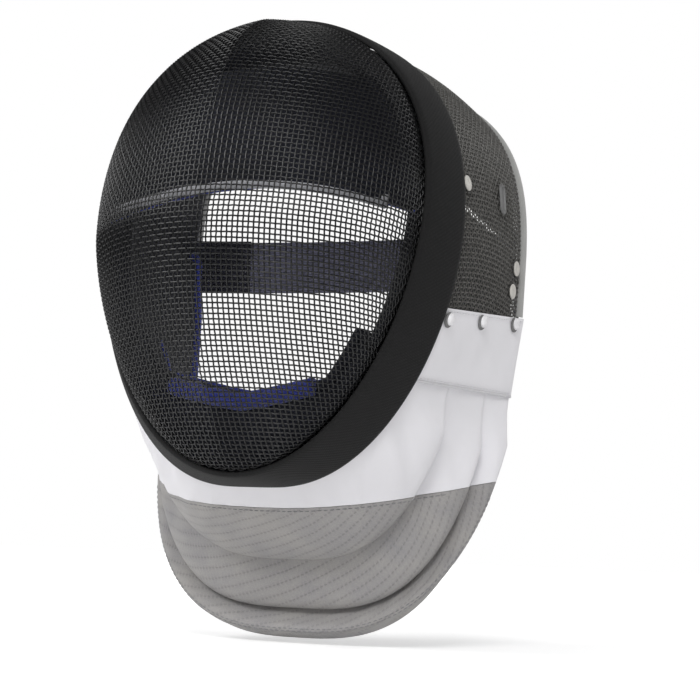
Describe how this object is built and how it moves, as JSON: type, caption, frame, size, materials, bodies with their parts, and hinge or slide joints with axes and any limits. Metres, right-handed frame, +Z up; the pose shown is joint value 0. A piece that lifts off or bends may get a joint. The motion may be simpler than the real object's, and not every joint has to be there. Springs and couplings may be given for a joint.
{
  "type": "fencing mask",
  "caption": "Fencing mask with creased woven steel face, padded black trim, woven crown open at the back, elastic strap, lining pads and a pleated white and grey bib.",
  "frame": {"origin": "The head seat: the point just under the crown pad, on the middle plane, where the top of the wearer's head meets the mask that it holds up.", "axes": "+Z up as worn, -Y the way the wearer faces, +X the wearer's left. Metres."},
  "size_m": [0.2474, 0.2632, 0.38],
  "materials": {
    "face_mesh": "black lacquered woven steel wire",
    "crown_mesh": "dark grey coated woven steel wire",
    "trim_cloth": "black ribbed padded cloth",
    "edge_binding": "pale grey woven tape",
    "bib_cloth": "white padded cloth, matt",
    "bib_lame": "grey metallic cloth with diagonal stitching",
    "strap_elastic": "navy grey elastic webbing",
    "lining": "dark navy padding with blue edging",
    "slot_plate": "grey, matt",
    "disc": "pale, matt",
    "rivet": "white, slightly glossy"
  },
  "bodies": {
    "root": {"back_binding": "edge_binding", "back_mesh": "crown_mesh", "back_strap": "strap_elastic", "bib_band_left": "bib_cloth", "bib_band_right": "bib_cloth", "bib_lame": "bib_lame", "bib_white": "bib_cloth", "brow_pad": "lining", "chin_pad": "lining", "crown_pad": "lining", "disc_front_left": "disc", "disc_front_right": "disc", "disc_low_left": "disc", "disc_low_right": "disc", "disc_rear_left": "disc", "disc_rear_right": "disc", "front_mesh": "face_mesh", "rim_trim": "trim_cloth", "rivet_front_left": "rivet", "rivet_front_right": "rivet", "rivet_middle_left": "rivet", "rivet_middle_right": "rivet", "rivet_rear_left": "rivet", "rivet_rear_right": "rivet", "side_pad_left": "lining", "side_pad_right": "lining", "slot_plate_left": "slot_plate", "slot_plate_right": "slot_plate", "strap_fold": "strap_elastic"}
  },
  "joints": []
}
